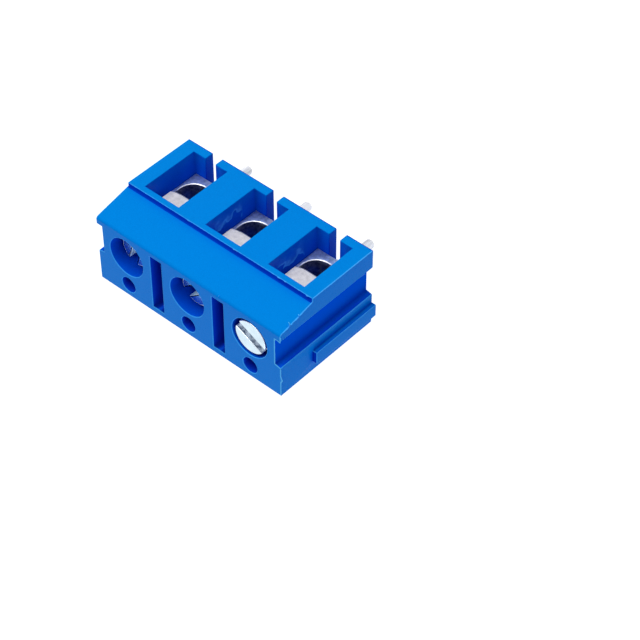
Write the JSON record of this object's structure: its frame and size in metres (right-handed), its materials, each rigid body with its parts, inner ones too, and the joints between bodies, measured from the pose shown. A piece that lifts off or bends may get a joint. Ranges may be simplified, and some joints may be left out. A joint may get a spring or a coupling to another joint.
{
  "type": "pcb screw terminal",
  "caption": "Board-mounted wire terminal with a moulded housing, clamp screws reached from above, open wire entries in front and round solder pins below.",
  "frame": {"origin": "on the axis of the middle solder pin, at the level of the board seat", "axes": "+X along the row of poles, -Y out of the wire entries, +Z away from the board, out of the screw side"},
  "size_m": [0.0231, 0.0091, 0.0166],
  "materials": {
    "housing_plastic": "satin moulded polyamide",
    "block_metal": "tin plated",
    "guard_metal": "bright rolled strip",
    "screw_metal": "zinc plated",
    "pin_metal": "bright tin plated"
  },
  "bodies": {
    "terminal": {"housing": "housing_plastic", "clamp_block_1": "block_metal", "wire_guard_1": "guard_metal", "solder_pin_1": "pin_metal", "clamp_block_2": "block_metal", "wire_guard_2": "guard_metal", "solder_pin_2": "pin_metal", "clamp_block_3": "block_metal", "wire_guard_3": "guard_metal", "solder_pin_3": "pin_metal"},
    "screw_1": {"clamp_screw_1": "screw_metal"},
    "screw_2": {"clamp_screw_2": "screw_metal"},
    "screw_3": {"clamp_screw_3": "screw_metal"}
  },
  "joints": [
    {"name": "screw_1_travel", "type": "slide", "parent": "terminal", "child": "screw_1", "axis": [0, 0, 1], "range_m": [-0.0031, 0], "deforming": ["wire_guard_1"]},
    {"name": "screw_2_travel", "type": "slide", "parent": "terminal", "child": "screw_2", "axis": [0, 0, 1], "range_m": [-0.00195, 0.00115], "deforming": ["wire_guard_2"]},
    {"name": "screw_3_travel", "type": "slide", "parent": "terminal", "child": "screw_3", "axis": [0, 0, 1], "range_m": [-0.00195, 0.00115], "deforming": ["wire_guard_3"]}
  ]
}
